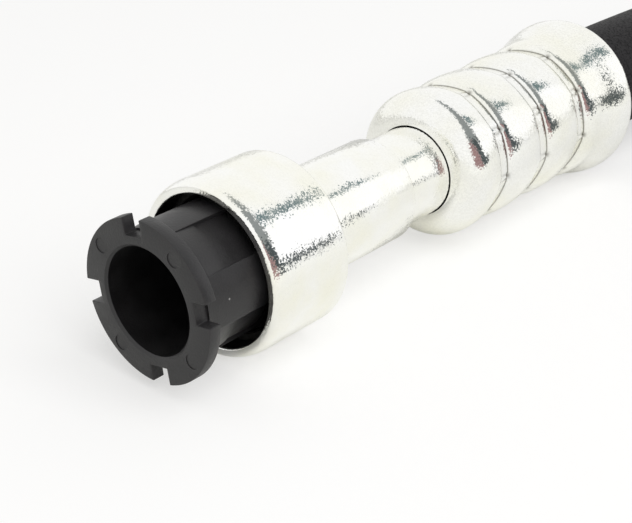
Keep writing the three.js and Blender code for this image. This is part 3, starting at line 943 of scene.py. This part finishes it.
def pipe_profile():
    """Profile of the pipe end, counted from the front of its ferrule, its tip at negative places."""
    pipe = sizes().pipe_radius / MM
    bead = sizes().bead_radius / MM
    pipe_rear, pipe_length, wall = -3.2, 42.9, 0.8
    tip = pipe_rear - pipe_length
    bead_start, bead_half, bead_steps = tip + 14.65, 1.3, 12
    shoulder, shoulder_edge, shoulder_round = 5.1, 0.2, 0.35
    foot = SHOULDER - FERRULE_FRONT
    points = [(pipe - wall, tip), (pipe - 0.45, tip), (pipe - 0.25, tip + 0.2), (pipe, tip + 1.2)]
    for i in range(bead_steps + 1):
        a = math.pi * i / bead_steps
        radius = pipe + (bead - pipe) * math.sin(a) ** 0.8
        points.append((radius, bead_start + bead_half - bead_half * math.cos(a)))
    middle = (shoulder - shoulder_round, pipe_rear + shoulder_round)
    return [
        *points,
        (pipe, pipe_rear - 0.3), (pipe + 0.1, pipe_rear - 0.1), (pipe + 0.3, pipe_rear),
        (shoulder - 0.4, pipe_rear),
        *arc(*middle, shoulder_round, -80, 0, 4),
        (shoulder, foot - shoulder_edge), (shoulder - shoulder_edge, foot),
        *barbed_stem(foot, foot + STEM_LENGTH),
        (STEM_BORE, pipe_rear), (pipe - wall, pipe_rear - 1), (pipe - wall, tip + 0.2),
    ]


class FUELHOSE_OT_pipe_end(bpy.types.Operator):
    """Add the beaded pipe at the far end, with its shoulder and barbed stem"""

    bl_idname = "fuel_hose.add_pipe_end"
    bl_label = "Add Pipe End"

    def execute(self, context):
        piece = turned("pipe_end_skin", pipe_profile(), PIPE_SIDES)
        smooth(piece)
        settle_at_far_end(piece)
        finish_piece(piece, turned_zinc(), "coupling", ["pipe_end"])
        return {"FINISHED"}


# Collar


def collar_profile():
    flange = sizes().flange_radius / MM
    bore = sizes().collar_bore / MM
    sleeve, sleeve_rear = 6.87, 2.4
    leg, leg_front, leg_rear, leg_tip = 6.95, 2.9, 13.4, 6.65
    hook, hook_front, hook_rear = 7.7, 11.7, 12.2
    tooth, tooth_place, bore_edge = 0.55, 12.85, 0.25
    return [
        (bore + bore_edge, 0), (flange, 0), (flange, FLANGE_THICKNESS),
        (sleeve, FLANGE_THICKNESS), (sleeve, sleeve_rear),
        (leg, leg_front), (leg, hook_front),
        (hook, hook_front), (hook, hook_rear),
        (leg_tip, leg_rear), (bore, leg_rear),
        (bore - tooth, tooth_place), (bore, tooth_place - tooth), (bore, bore_edge),
    ]


def is_flange_edge(place):
    """Whether an edge is one of the notched rim's, and not of a pin mark or the sleeve's foot."""
    quarter = 360 / LEG_COUNT
    radius = math.hypot(place.x, place.z)
    turn = math.degrees(math.atan2(place.x, place.z))
    off = (turn - PIN_MARK_TURN + quarter / 2) % quarter - quarter / 2
    in_mark = abs(off) < 8 and radius < PIN_MARK_PLACE + 1 and place.y < 0.1
    at_foot = place.y > FLANGE_THICKNESS - 0.1 and radius < 7.0
    return radius > 6.4 and place.y < FLANGE_THICKNESS + 0.2 and not in_mark and not at_foot


def is_leg_edge(place):
    return place.y > 5 and math.hypot(place.x, place.z) > 6.4


def leg_spaces():
    """Cutters for the spaces between the legs: a low panel, a deeper one and an open slot."""
    panel_front, panel_rear, core = 6.88, 6.72, 6.5
    panel_start, core_start, slot_start = 2.6, 5.1, 9.6
    inner, outer, end = 4.5, 9.0, 14.4
    profile = [
        (inner, slot_start), (inner, end), (outer, end), (outer, panel_start),
        (panel_front, panel_start), (panel_rear, core_start),
        (core, core_start), (core, slot_start),
    ]
    space = turned("leg_space", profile, COLLAR_SIDES, CUTTER_SEAM)
    wedge(space, LEG_TURN + 180 / LEG_COUNT, LEG_GAP)
    return copied_round(space, LEG_COUNT)


def flange_notches():
    """Cutters for the four notches in the flange's edge."""
    width, floor, reach = 2.3, 6.6, 4.0
    first, last = -1.0, FLANGE_THICKNESS + 0.1
    deselect_all()
    bpy.ops.mesh.primitive_cube_add(size=1, location=(0, 0, 0))
    notch = bpy.context.object
    notch.scale = (width * MM, (last - first) * MM, reach * MM)
    notch.location = (0, (first + last) / 2 * MM, (floor + reach / 2) * MM)
    apply_place()
    turn_cutter(notch, LEG_TURN)
    return copied_round(notch, LEG_COUNT)


def pin_mark_cutter():
    """Cutters for the four shallow round marks in the flange's face."""
    deselect_all()
    bpy.ops.mesh.primitive_cylinder_add(
        vertices=28,
        radius=PIN_MARK_RADIUS * MM,
        depth=2 * PIN_MARK_DEPTH * MM,
        location=(0, 0, PIN_MARK_PLACE * MM),
        rotation=(math.pi / 2, 0, 0),
    )
    apply_place()
    turn_cutter(bpy.context.object, PIN_MARK_TURN)
    return copied_round(bpy.context.object, LEG_COUNT)


class FUELHOSE_OT_collar(bpy.types.Operator):
    """Add the release collar: a notched flange, a sleeve and four hooked legs"""

    bl_idname = "fuel_hose.add_collar"
    bl_label = "Add Release Collar"

    def execute(self, context):
        piece = turned("release_collar_skin", collar_profile(), COLLAR_SIDES, COLLAR_SEAM)
        for cutter in (pin_mark_cutter, flange_notches, leg_spaces):
            cut_away(piece, cutter())
        round_chosen(piece, is_flange_edge, width=0.1, angle=40.0)
        round_chosen(piece, is_leg_edge, width=0.05, angle=50.0)
        smooth(piece, 40.0)
        # The bore's faces get the plastic at 0.4 of its tone: painted shade in the bore.
        bore = sizes().collar_bore + 0.1 * MM
        inner = [math.hypot(face.center.x, face.center.z) < bore for face in piece.data.polygons]
        settle_at_coupling(piece)
        plastic = plastic_material("Collar plastic", tone=1.0, dust_share=0.16)
        finish_piece(piece, plastic, "collar", ["release_collar"])
        paint_shade_inside(piece, plastic_material("Collar plastic, painted shade in bore", tone=0.4, dust_share=0.0), inner)
        return {"FINISHED"}


# Seals


def bush_profile(first, last):
    """A short tube with rounded edges."""
    edge = 0.15
    outer, inner = SEAL_OUTSIDE - edge, SEAL_BORE + edge
    return [
        (inner, first),
        *arc(outer, first + edge, edge, -90, 0, 3),
        *arc(outer, last - edge, edge, 0, 90, 3),
        *arc(inner, last - edge, edge, 90, 180, 3),
        *arc(inner, first + edge, edge, 180, 260, 3),
    ]


def o_ring_profile(middle):
    section = 0.65
    return arc(SEAL_OUTSIDE - section, middle, section, 0, 345, 23)


class FUELHOSE_OT_seals(bpy.types.Operator):
    """Add the seal bush, the two O-rings and the spacer between them"""

    bl_idname = "fuel_hose.add_seals"
    bl_label = "Add Seals"

    def execute(self, context):
        color = finishes().seal_color
        rubber = rubber_material("Seal rubber", color, roughness=0.42, scale=5000.0, depth=0.002)
        plastic = bush_material()
        for name, profile, angle, material, slot in (
            ("seal_bush", bush_profile(*BUSH_ENDS), 35.0, plastic, "bush_plastic"),
            ("seal_spacer", bush_profile(*SPACER_ENDS), 35.0, plastic, "bush_plastic"),
            ("front_o_ring", o_ring_profile(FRONT_RING_PLACE), 60.0, rubber, "seal_rubber"),
            ("rear_o_ring", o_ring_profile(REAR_RING_PLACE), 60.0, rubber, "seal_rubber"),
        ):
            piece = turned(name + "_skin", profile, SEAL_SIDES)
            smooth(piece, angle)
            settle_at_coupling(piece)
            finish_piece(piece, material, "coupling", [name])
        return {"FINISHED"}


# Hose


class FUELHOSE_OT_hose(bpy.types.Operator):
    """Add the rubber hose along its route between the two ferrules"""

    bl_idname = "fuel_hose.add_hose"
    bl_label = "Add Fuel Hose"

    def execute(self, context):
        deselect_all()
        start, end = Vector(ROUTE[0]), Vector(ROUTE[-1])
        inside = ((HOSE_TUCK, SQUEEZED), (SQUEEZED_FROM, SQUEEZED), (RELAXED_FROM, 1.0))
        near = [(start - Vector((0, depth, 0)), share) for depth, share in inside]
        far = [(end + Vector((0, depth, 0)), share) for depth, share in reversed(inside)]
        stops = [*near, *((Vector(p), 1.0) for p in ROUTE), *far]
        curve = bpy.data.curves.new("fuel_hose_skin", "CURVE")
        curve.dimensions = "3D"
        curve.resolution_u = curve.render_resolution_u = 12
        curve.bevel_depth = sizes().hose_radius
        curve.bevel_resolution = 14
        curve.use_fill_caps = True
        spline = curve.splines.new("BEZIER")
        spline.bezier_points.add(len(stops) - 1)
        for point, (place, share) in zip(spline.bezier_points, stops):
            point.co = place
            point.radius = share
            point.handle_left_type = point.handle_right_type = "AUTO"
        hose = bpy.data.objects.new("fuel_hose_skin", curve)
        bpy.context.collection.objects.link(hose)
        color = finishes().rubber_color
        rubber = rubber_material("Hose rubber", color, roughness=0.6, scale=3600.0, depth=0.006)
        finish_piece(hose, rubber, "coupling", ["fuel_hose"])
        return {"FINISHED"}


# Studio


def light_paths(tree):
    """The kinds of rays, each 0 or 1, and 1 for what metal or glass shows."""
    path = add_node(tree, "LightPath").outputs
    shown = math_node(tree, "MAXIMUM", path["Is Glossy Ray"], path["Is Transmission Ray"])
    return path, shown


def light_world():
    """Even light from all round, and a white backdrop for the camera, metal and glass."""
    world = bpy.data.worlds.new("Pale room")
    bpy.context.scene.world = world
    world.use_nodes = True
    tree = world.node_tree
    room = set_inputs(tree, tree.nodes["Background"], Color=(1.0, 1.0, 1.0), Strength=ROOM_LIGHT)
    backdrop = add_node(tree, "Background", Color=(1.0, 1.0, 0.99), Strength=1.0)
    path, shown = light_paths(tree)
    share = math_node(tree, "MAXIMUM", path["Is Camera Ray"], shown)
    mix = add_node(tree, "MixShader", share, room.outputs[0], backdrop.outputs[0])
    set_inputs(tree, tree.nodes["World Output"], Surface=mix.outputs[0])


def floor_material():
    """Matt floor with a glow for the camera, and a lesser one for what metal and glass show."""
    material, tree, shader = new_material("Pale floor", 0.0, 0.9, 0.0)
    path, shown = light_paths(tree)
    color = mix_colors(tree, path["Is Glossy Ray"], FLOOR_COLOR, MIRRORED_FLOOR_COLOR)
    set_inputs(tree, shader, Base_Color=color)
    seen = math_node(tree, "MULTIPLY", path["Is Camera Ray"], FLOOR_GLOW)
    strength = math_node(tree, "MULTIPLY_ADD", shown, MIRRORED_FLOOR_GLOW, seen)
    glow = add_node(tree, "Emission", Color=(1.0, 0.995, 0.98), Strength=strength)
    both = add_node(tree, "AddShader", shader.outputs[0], glow.outputs[0])
    set_inputs(tree, tree.nodes["Material Output"], Surface=both.outputs[0])
    return material


def card_material(name, color):
    material = bpy.data.materials.new(name)
    material.use_nodes = True
    tree = material.node_tree
    tree.nodes.remove(tree.nodes["Principled BSDF"])
    glow = add_node(tree, "Emission", Color=color)
    set_inputs(tree, tree.nodes["Material Output"], Surface=glow.outputs[0])
    return material


def card(name, color, distance, corners):
    """Adds a card, curved round the hose's axis, that only reflections show: a painted reflection."""
    deselect_all()
    bpy.ops.mesh.primitive_grid_add(x_subdivisions=32, y_subdivisions=16, size=2)
    piece = bpy.context.object
    piece.name = name
    for vertex in piece.data.vertices:
        u, v = (vertex.co.x + 1) / 2, (vertex.co.y + 1) / 2
        weights = ((1 - u) * (1 - v), u * (1 - v), u * v, (1 - u) * v)
        angle = math.radians(sum(w * corner[0] for w, corner in zip(weights, corners)))
        place = sum(w * corner[1] for w, corner in zip(weights, corners))
        vertex.co = (distance * math.sin(angle), place, distance * math.cos(angle) + AXIS_HEIGHT * MM)
    piece.data.materials.append(card_material(name, color))
    for kind in ("camera", "diffuse", "transmission", "volume_scatter", "shadow"):
        setattr(piece, "visible_" + kind, False)


def add_camera():
    turn, drop = math.radians(VIEW_TURN), math.radians(VIEW_DROP)
    right = Vector((math.cos(turn), math.sin(turn), 0))
    forward = Vector((-math.sin(turn) * math.cos(drop), math.cos(turn) * math.cos(drop), -math.sin(drop)))
    up = right.cross(forward)
    aim = forward + right * VIEW_POINT_OFFSET[0] + up * VIEW_POINT_OFFSET[1]
    deselect_all()
    bpy.ops.object.camera_add(
        location=Vector(VIEW_POINT) - aim * VIEW_DISTANCE,
        rotation=(math.pi / 2 - drop, 0, turn),
    )
    camera = bpy.context.object
    camera.data.lens = LENS
    camera.data.sensor_width = SENSOR_WIDTH
    camera.data.sensor_fit = "HORIZONTAL"
    camera.data.shift_x, camera.data.shift_y = SHIFT
    camera.data.clip_start = 0.005
    camera.data.clip_end = 20
    bpy.context.scene.camera = camera


class FUELHOSE_OT_studio(bpy.types.Operator):
    """Add the pale floor, the soft light, the cards and the camera"""

    bl_idname = "fuel_hose.add_studio"
    bl_label = "Add Studio"

    def execute(self, context):
        bpy.context.scene.view_settings.view_transform = "Standard"
        deselect_all()
        bpy.ops.mesh.primitive_plane_add(size=FLOOR_SIZE, location=(0, 0, 0))
        floor = bpy.context.object
        floor.name = "studio_floor"
        floor.data.materials.append(floor_material())
        light_world()
        deselect_all()
        bpy.ops.object.light_add(type="AREA", location=KEY_PLACE)
        lamp = bpy.context.object
        lamp.name = "soft_key"
        lamp.data.shape = "RECTANGLE"
        lamp.data.size = lamp.data.size_y = KEY_SIZE
        lamp.data.energy = KEY_ENERGY
        lamp.visible_glossy = False
        lamp.rotation_euler = (-lamp.location).to_track_quat("-Z", "Y").to_euler()
        for row in CARDS:
            card(*row)
        add_camera()
        return {"FINISHED"}


# Add-on


class FUELHOSE_PT_panel(bpy.types.Panel):
    """Settings and operators of the fuel hose"""

    bl_idname = "FUELHOSE_PT_panel"
    bl_label = "Fuel Hose"
    bl_space_type = "VIEW_3D"
    bl_region_type = "UI"
    bl_category = "Fuel Hose"

    def draw(self, context):
        layout = self.layout
        for settings in (context.scene.fuel_hose_sizes, context.scene.fuel_hose_finishes):
            box = layout.box()
            for name in settings.__annotations__:
                box.prop(settings, name)
        for step in STEPS:
            layout.operator(step.bl_idname)


STEPS = (
    FUELHOSE_OT_studio,
    FUELHOSE_OT_ferrules,
    FUELHOSE_OT_pipe_end,
    FUELHOSE_OT_hose,
    FUELHOSE_OT_socket,
    FUELHOSE_OT_collar,
    FUELHOSE_OT_seals,
)
CLASSES = (FuelHoseSizes, FuelHoseFinishes, *STEPS, FUELHOSE_PT_panel)


def register():
    for item in CLASSES:
        bpy.utils.register_class(item)
    bpy.types.Scene.fuel_hose_sizes = PointerProperty(type=FuelHoseSizes)
    bpy.types.Scene.fuel_hose_finishes = PointerProperty(type=FuelHoseFinishes)


def unregister():
    del bpy.types.Scene.fuel_hose_finishes
    del bpy.types.Scene.fuel_hose_sizes
    for item in reversed(CLASSES):
        bpy.utils.unregister_class(item)


def main():
    register()
    bpy.ops.fuel_hose.add_studio()
    bpy.ops.fuel_hose.add_ferrules()
    bpy.ops.fuel_hose.add_pipe_end()
    bpy.ops.fuel_hose.add_hose()
    bpy.ops.fuel_hose.add_socket()
    bpy.ops.fuel_hose.add_collar()
    bpy.ops.fuel_hose.add_seals()


if __name__ == "__main__":
    main()
